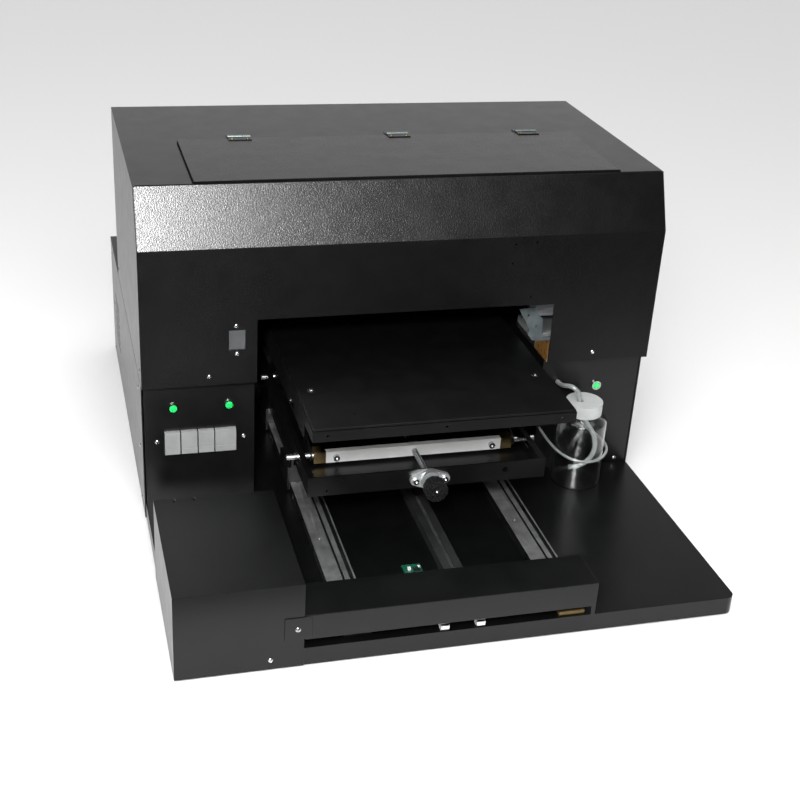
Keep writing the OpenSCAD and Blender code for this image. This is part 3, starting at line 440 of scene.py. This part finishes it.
def repaint(piece, slot, chosen):
    """Gives the faces whose middle passes the test another material."""
    piece.data.materials.append(MATERIALS[slot])
    for face in piece.data.polygons:
        if chosen(face.center):
            face.material_index = len(piece.data.materials) - 1


def split_wide_faces(piece):
    """Cuts faces of more than four corners into triangles."""
    bm = bmesh.new()
    bm.from_mesh(piece.data)
    bmesh.ops.triangulate(bm, faces=[f for f in bm.faces if len(f.verts) > 4])
    bm.to_mesh(piece.data)
    bm.free()


def islands(node):
    """Middle, lowest and highest corner of each loose part of a CAD node."""
    bm = bmesh.new()
    bm.from_mesh(frame["nodes"][node].data)
    bmesh.ops.remove_doubles(bm, verts=bm.verts, dist=SAME_PLACE)
    seen, found = set(), []
    for start in bm.verts:
        if start in seen:
            continue
        seen.add(start)
        todo, part = [start], []
        while todo:
            vert = todo.pop()
            part.append(vert.co.copy())
            for edge in vert.link_edges:
                other = edge.other_vert(vert)
                if other not in seen:
                    seen.add(other)
                    todo.append(other)
        low = Vector([min(co[i] for co in part) for i in range(3)])
        high = Vector([max(co[i] for co in part) for i in range(3)])
        found.append(((low + high) / 2, low, high))
    bm.free()
    return found


def lathe(bm, outline, steps, at=Vector((0, 0, 0)), turn=Matrix.Identity(3)):
    """Adds a surface of revolution about Z. The outline is a list of (radius, height)."""
    rings = []
    for radius, height in outline:
        if radius < 1e-6:
            rings.append([bm.verts.new(turn @ Vector((0, 0, height)) + at)])
            continue
        ring = []
        for k in range(steps):
            angle = 2 * math.pi * k / steps
            point = Vector((radius * math.cos(angle), radius * math.sin(angle), height))
            ring.append(bm.verts.new(turn @ point + at))
        rings.append(ring)
    for lower, upper in zip(rings, rings[1:]):
        for k in range(steps):
            n = (k + 1) % steps
            corners = [
                lower[k % len(lower)], lower[n % len(lower)],
                upper[n % len(upper)], upper[k % len(upper)],
            ]
            unique = list(dict.fromkeys(corners))
            if len(unique) > 2:
                bm.faces.new(unique)


def block(bm, low, high):
    """Adds a box between two corners."""
    made = bmesh.ops.create_cube(bm, size=1.0)["verts"]
    low, high = Vector(low), Vector(high)
    for vert in made:
        vert.co = Vector([low[i] + (vert.co[i] + 0.5) * (high[i] - low[i]) for i in range(3)])


def smooth_route(points, steps=6):
    """A Catmull-Rom curve through the points."""
    points = [Vector(p) for p in points]
    found = []
    for i in range(len(points) - 1):
        a, b = points[max(i - 1, 0)], points[i]
        c, d = points[i + 1], points[min(i + 2, len(points) - 1)]
        for k in range(steps):
            t = k / steps
            found.append(0.5 * (
                2 * b + (c - a) * t + (2 * a - 5 * b + 4 * c - d) * t ** 2
                + (3 * b - a - 3 * c + d) * t ** 3
            ))
    return found + [points[-1]]


# The tubes of the waste bottle
def make_tube(name, node, route, radius):
    """A cord along a route that starts at the leg, in place of its CAD node."""
    line = smooth_route(route)
    curve = bpy.data.curves.new(name, "CURVE")
    curve.dimensions = "3D"
    curve.bevel_depth = radius
    curve.bevel_resolution = 5
    curve.use_fill_caps = True
    spline = curve.splines.new("POLY")
    spline.points.add(len(line) - 1)
    for point, place in zip(spline.points, line):
        point.co = (*place, 1)
    spline.use_smooth = True
    curve.materials.append(MATERIALS["tube_silicone"])
    piece = bpy.data.objects.new(name, curve)
    SCENE.objects.link(piece)
    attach(piece, "body")
    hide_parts(node)


# Fasteners
DOME_HEIGHT = 0.46
CROSS_LONG, CROSS_NARROW, CROSS_FLOOR = 0.52, 0.11, 0.2


def screw_mesh():
    """One pan-head screw with a cross recess, its head towards +Z, 1 unit in radius."""
    dome = [(0, DOME_HEIGHT), (0.3, 0.44), (0.62, 0.36), (0.85, 0.22), (0.97, 0.08), (1.0, 0.0), (0, 0)]
    bm = bmesh.new()
    lathe(bm, dome[::-1], 32)
    bmesh.ops.recalc_face_normals(bm, faces=bm.faces)
    head = bpy.data.meshes.new("screw_head")
    bm.to_mesh(head)
    bm.free()
    bm = bmesh.new()
    for x, y in ((CROSS_LONG, CROSS_NARROW), (CROSS_NARROW, CROSS_LONG)):
        block(bm, (-x, -y, CROSS_FLOOR), (x, y, 0.6))
    cross = bpy.data.meshes.new("screw_cross")
    bm.to_mesh(cross)
    bm.free()
    head_object = bpy.data.objects.new("screw_head", head)
    cross_object = bpy.data.objects.new("screw_cross", cross)
    SCENE.objects.link(head_object)
    SCENE.objects.link(cross_object)
    cut = head_object.modifiers.new("cross", "BOOLEAN")
    cut.operation = "DIFFERENCE"
    cut.solver = "EXACT"
    cut.use_self = True
    cut.object = cross_object
    graph = bpy.context.evaluated_depsgraph_get()
    made = bpy.data.meshes.new_from_object(head_object.evaluated_get(graph))
    bpy.data.objects.remove(head_object)
    bpy.data.objects.remove(cross_object)
    return made


def add_screws(name, node, body, slot, direction_of):
    """Replaces a node of plain heads by domed heads at the same places."""
    bm = bmesh.new()
    shape = screw_mesh()
    for index, (middle, low, high) in enumerate(islands(node)):
        size = high - low
        direction = direction_of(middle, size)
        axis = [abs(c) for c in direction].index(1)
        height = size[axis]
        radius = max(size[i] for i in range(3) if i != axis) / 2
        seat = middle - direction * height / 2
        turn = direction.to_track_quat("Z", "Y").to_matrix()
        spin = Matrix.Rotation(0.7 * index, 3, "Z")
        scale = Matrix.Diagonal((radius, radius, height / DOME_HEIGHT))
        start = len(bm.verts)
        bm.from_mesh(shape)
        bm.verts.ensure_lookup_table()
        for vert in bm.verts[start:]:
            vert.co = turn @ (spin @ (scale @ vert.co)) + seat
    piece = piece_from(bm, name, body, slot, 30.0)
    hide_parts(node)


def outward(middle, size):
    """The direction in which a body screw's head points: along its thinnest side, away from the middle."""
    axis = min(range(3), key=lambda i: size[i])
    direction = Vector((0, 0, 0))
    direction[axis] = math.copysign(1, middle[axis])
    return direction


def make_platen_screws():
    """Countersunk screws with a round socket in each head, flush in the platen."""
    bm = bmesh.new()
    for middle, low, high in islands("platen_screws"):
        r = (high.x - low.x) / 2
        depth = high.z - low.z
        lathe(bm, [
            (0, -depth * 0.75), (0.36 * r, -depth * 0.75), (0.36 * r, -0.05 * depth), (0.42 * r, 0),
            (0.97 * r, 0), (r, -0.04 * depth), (0.86 * r, -depth), (0, -depth),
        ], 36, Vector((middle.x, middle.y, high.z)))
    piece = piece_from(bm, "platen_screws_detail", "platen", "screw_steel", 30.0)
    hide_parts("platen_screws")


# The screw, the knob and the bottle
def make_lead_screw():
    """Trapezoid thread with a 4 mm lead along the whole screw."""
    low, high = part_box("lead_screw")
    middle_x, middle_z = (low.x + high.x) / 2, (low.z + high.z) / 2
    outer = (high.x - low.x) / 2
    depth, lead, step, sides = 0.75 * MM, 4 * MM, 0.4 * MM, 32
    flank, root = 3.2, 0.35
    count = int((high.y - low.y) / step)
    bm = bmesh.new()
    rings = []
    for i in range(count + 1):
        y = low.y + (high.y - low.y) * i / count
        ring = []
        for k in range(sides):
            phase = (y / lead + k / sides) % 1.0
            rise = min(1.0, max(0.0, flank * (0.5 - abs(phase - 0.5)) - root))
            r = outer - depth * (1 - rise)
            angle = 2 * math.pi * k / sides
            ring.append(bm.verts.new((middle_x + r * math.cos(angle), y, middle_z + r * math.sin(angle))))
        rings.append(ring)
    for a, b in zip(rings, rings[1:]):
        for k in range(sides):
            n = (k + 1) % sides
            bm.faces.new((a[k], a[n], b[n], b[k]))
    bm.faces.new(rings[0])
    bm.faces.new(rings[-1][::-1])
    piece = piece_from(bm, "lead_screw_detail", "knob", "shaft_steel", 50.0)
    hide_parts("lead_screw")


def arc(centre, radius, start, end, steps=5):
    """Points on a circle in the (radius, height) plane, angles in degrees."""
    points = []
    for k in range(steps + 1):
        angle = math.radians(start + (end - start) * k / steps)
        points.append((centre[0] + radius * math.cos(angle), centre[1] + radius * math.sin(angle)))
    return points


def make_bottle():
    """Blown bottle with a rounded base that is pushed up in the middle, round shoulders and a neck."""
    low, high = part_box("waste_bottle")
    middle = Vector(((low.x + high.x) / 2, (low.y + high.y) / 2, 0))
    r = (high.x - low.x) / 2
    neck = 24 * MM
    wall = 1.1 * MM
    shoulder_z = high.z - 27 * MM
    outer = [(0, low.z + 5 * MM), (r * 0.45, low.z + 4 * MM), (r - 11 * MM, low.z + 0.4 * MM)]
    outer += arc((r - 5 * MM, low.z + 5 * MM), 5 * MM, -90, 0)
    outer += arc((r - 9 * MM, shoulder_z), 9 * MM, 0, 68)
    outer += [(neck + 1.5 * MM, shoulder_z + 11.5 * MM), (neck - 0.3 * MM, shoulder_z + 13 * MM)]
    outer += [(neck - 0.3 * MM, high.z)]
    inner = [(max(radius - wall, 0.0), height + (wall if height < low.z + 8 * MM else -0.3 * wall))
             for radius, height in outer[:-1]]
    inner += [(neck - 0.3 * MM - wall, high.z)]
    inner[0] = (0, outer[0][1] + wall)
    bm = bmesh.new()
    lathe(bm, outer + inner[::-1], 72, middle)
    bmesh.ops.remove_doubles(bm, verts=bm.verts, dist=1e-7)
    piece = piece_from(bm, "waste_bottle_detail", "body", "clear_plastic", 40.0)
    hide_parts("waste_bottle")


# Small fittings in the front slot and on the base plate
def make_board(low, high):
    """The sensor board: a bare board, white connectors and black chips."""
    size = high - low
    thick = 1.6 * MM
    # each row is u, v on the board, then width, depth and height in millimetres
    parts = {
        "board_green": [(0.0, 0.0, size.x / MM, size.y / MM, 0.0)],
        "fitting_nylon": [(0.22, 0.60, 4, 4, 3.6), (0.62, 0.16, 3, 5, 2.6), (0.80, 0.72, 3, 3, 2.4)],
        "black_plastic": [(0.12, 0.12, 8, 7, 1.6), (0.52, 0.52, 9, 8, 1.4), (0.40, 0.30, 4, 3, 2.8)],
    }
    for slot, rows in parts.items():
        bm = bmesh.new()
        for u, v, width, depth, tall in rows:
            bottom = low.z + thick if tall else low.z
            corner = Vector((low.x + u * size.x, low.y + v * size.y, bottom))
            block(bm, corner, corner + Vector((width * MM, depth * MM, tall * MM or thick)))
        piece = piece_from(bm, "sensor_board_" + slot, "body", "fitting_nylon")
        piece.data.materials[0] = MATERIALS[slot]
        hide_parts("base_fittings")


def make_strap(low, high):
    """The brass strip in the front slot."""
    bm = bmesh.new()
    block(bm, low, high)
    bmesh.ops.bevel(bm, geom=bm.edges[:], offset=0.6 * MM, segments=2, affect="EDGES")
    piece = piece_from(bm, "earth_strap", "body", "fitting_nylon")
    piece.data.materials[0] = MATERIALS["brass"]
    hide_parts("base_fittings")


def make_clip(name, low, high):
    """A nylon clip: a closed ring with a gap at the back of its top."""
    lip = 2.2 * MM
    bm = bmesh.new()
    block(bm, low, (high.x, high.y, low.z + lip))
    block(bm, (low.x, low.y, low.z), (high.x, low.y + lip, high.z))
    block(bm, (low.x, high.y - lip, low.z), (high.x, high.y, high.z))
    block(bm, (low.x, low.y, high.z - lip), (high.x, high.y - 4 * MM, high.z))
    bmesh.ops.bevel(bm, geom=bm.edges[:], offset=0.4 * MM, segments=2, affect="EDGES")
    piece = piece_from(bm, name, "body", "fitting_nylon")
    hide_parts("base_fittings")


def make_fittings():
    """The sensor board, the earth strap and the two cable clips."""
    for index, (middle, low, high) in enumerate(sorted(islands("base_fittings"), key=lambda i: i[0].y)):
        size = high - low
        if size.y > 20 * MM:
            make_board(low, high)
        elif size.x > 20 * MM:
            make_strap(low, high)
        else:
            make_clip("cable_clip_%d" % index, low, high)


# Near-black strips that paint the shade in the lid's and hood's gaps, and the hinges' screws
def strip(name, body, low, high):
    """A near-black strip between two corners, with broken edges, that stands in for shade."""
    bm = bmesh.new()
    block(bm, low, high)
    bmesh.ops.bevel(bm, geom=bm.edges[:], offset=0.3 * MM, segments=2, affect="EDGES")
    piece_from(bm, name, body, "foot_rubber")


def make_shade_strips():
    """Painted shade: near-black strips along the lid's front and left edges and at the joint behind the
    hood's slope, where the gaps fall in shadow.
    """
    low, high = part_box("top_lid")
    out_front, out_left, under = 3.4 * MM, 1.6 * MM, 1 * MM
    foot, head = high.z - 2 * MM, high.z - 0.3 * MM
    # painted shade: dark strips at the lid's front and left edges stand in for the shadow in the gap under
    # the lid
    strip("lid_front_shade_strip", "lid", (low.x, low.y - out_front, foot), (high.x, low.y + under, head))
    strip("lid_left_shade_strip", "lid", (low.x - out_left, low.y - out_front, foot),
          (low.x + under, high.y - 12 * MM, head))
    # painted shade: a dark strip along the top of the hood's slope stands in for the shadow in the joint
    # behind it
    low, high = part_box("hood_front")
    inset = 1.5 * MM
    strip("hood_slope_shade_strip", "body", (low.x + inset, high.y - 1.2 * MM, high.z - 0.5 * MM),
          (high.x - inset, high.y + 1.4 * MM, high.z + 0.25 * MM))


def make_hinge_screws():
    """Two domed screws in each leaf that is on the lid."""
    lid_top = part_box("top_lid")[1].z
    radius, beside, forward, rise = 2.7 * MM, 11 * MM, 5.5 * MM, 1.1 * MM
    shape = screw_mesh()
    bm = bmesh.new()
    for middle, low, _ in islands("hinge_lid_leaves"):
        for side in (-1, 1):
            start = len(bm.verts)
            bm.from_mesh(shape)
            bm.verts.ensure_lookup_table()
            place = Vector((middle.x + side * beside, low.y + forward, lid_top + rise))
            for vert in bm.verts[start:]:
                vert.co = vert.co * radius + place
    piece = piece_from(bm, "hinge_screws", "lid", "screw_steel", 30.0)
    piece.data.materials[0] = MATERIALS["brass"]


# Nodes whose sharp edges are rounded, with the width of the rounding in millimetres
SOFTENED = {
    "hood_shell": 0.7, "hood_front": 0.7, "top_lid": 0.7, "left_leg": 0.7, "right_leg": 0.7,
    "side_panels": 0.6, "base_pan": 0.7, "left_box_cover": 0.7, "front_cover": 0.7, "rear_panel": 0.6,
    "rear_cover": 0.65, "lift_tray": 0.65, "platen_frame": 0.6, "platen_plate": 1.2, "table_carriage": 0.8,
    "rails": 0.3, "belt_channel": 0.5, "lift_bar": 0.7, "brass_fittings": 0.5, "lift_knob": 0.6,
    "flange_bearing": 0.6, "front_links": 0.4, "rear_links": 0.4, "mech_chassis": 0.5,
    "head_carriage": 1.2, "print_head": 0.8, "cap_station": 0.5, "y_motor": 1.0, "fan_frame": 0.8,
    "power_inlet": 0.7, "power_rocker": 0.5, "bottle_cap": 0.8, "window_plate": 0.3, "switch_block": 0.8,
    "key_1": 2.0, "key_2": 2.0, "key_3": 2.0, "key_4": 2.0, "hinge_fixed_leaves": 0.25,
    "hinge_lid_leaves": 0.25, "fan_rotor": 0.4, "belt_clamp": 0.5, "feet": 0.5, "button_left": 0.4,
    "button_middle": 0.4, "button_right": 0.4, "button_bezels": 0.4, "motor_pulley": 0.25,
    "idler_pulley": 0.25,
}

# Nodes with folds of less than the usual angle that are rounded too
SLIGHT_FOLDS = {"hood_front": 12.0, "hood_shell": 12.0}


def repaint_parts():
    """Gives nodes, and faces of a node, another material than their slot has."""
    for name, paint in (("belt_channel", "channel_steel"), ("mech_chassis", "black_steel")):
        softened[name].data.materials[0] = MATERIALS[paint]

    amber_before, white_behind = -64.5 * MM, -47.0 * MM
    repaint(softened["cap_station"], "white_plastic", lambda at: at.y > white_behind)
    repaint(softened["cap_station"], "amber_film", lambda at: at.y < amber_before)

    low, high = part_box("lead_screw")
    centre_z, centre_r = (low.z + high.z) / 2, 5.4 * MM
    knob = softened["lift_knob"]
    repaint(knob, "screw_steel", lambda at: math.hypot(at.x, at.z - centre_z) < centre_r)

    bar_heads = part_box("lift_bar")[0].y + 4.5 * MM
    repaint(softened["lift_bar"], "screw_steel", lambda at: at.y < bar_heads)

    flange_heads, heads_from_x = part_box("flange_bearing")[0].y + 4.8 * MM, 15.5 * MM
    flange = softened["flange_bearing"]
    repaint(flange, "screw_steel", lambda at: abs(at.x) > heads_from_x and at.y < flange_heads)

    groove_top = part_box("rails")[1].z - 1 * MM
    repaint(softened["rails"], "black_steel", lambda at: at.z < groove_top)

    leaf_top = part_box("top_lid")[1].z + 1.3 * MM
    for name in ("hinge_lid_leaves", "hinge_fixed_leaves"):
        softened[name].data.materials[0] = MATERIALS["lid_paint"]
        repaint(softened[name], "zinc_plate", lambda at: at.z > leaf_top)


make_camera()
MATERIALS = make_materials()
make_tube("waste_tube_hose", "waste_tube", WASTE_ROUTE, WASTE_TUBE_R)
make_tube("drain_tube_hose", "drain_tube", DRAIN_ROUTE, DRAIN_TUBE_R)
make_studio()

for name, cad_object in frame["nodes"].items():
    for cad_slot in cad_object.material_slots:
        cad_slot.material = MATERIALS[slot_of(name)]
softened = {
    name: soften(name, width * MM, SLIGHT_FOLDS.get(name, FOLD_ANGLE)) for name, width in SOFTENED.items()
}
repaint_parts()
for piece in softened.values():
    split_wide_faces(piece)

add_screws("body_screws_detail", "body_screws", "body", "screw_steel", outward)
make_platen_screws()
make_lead_screw()
make_bottle()
make_fittings()
make_shade_strips()
make_hinge_screws()
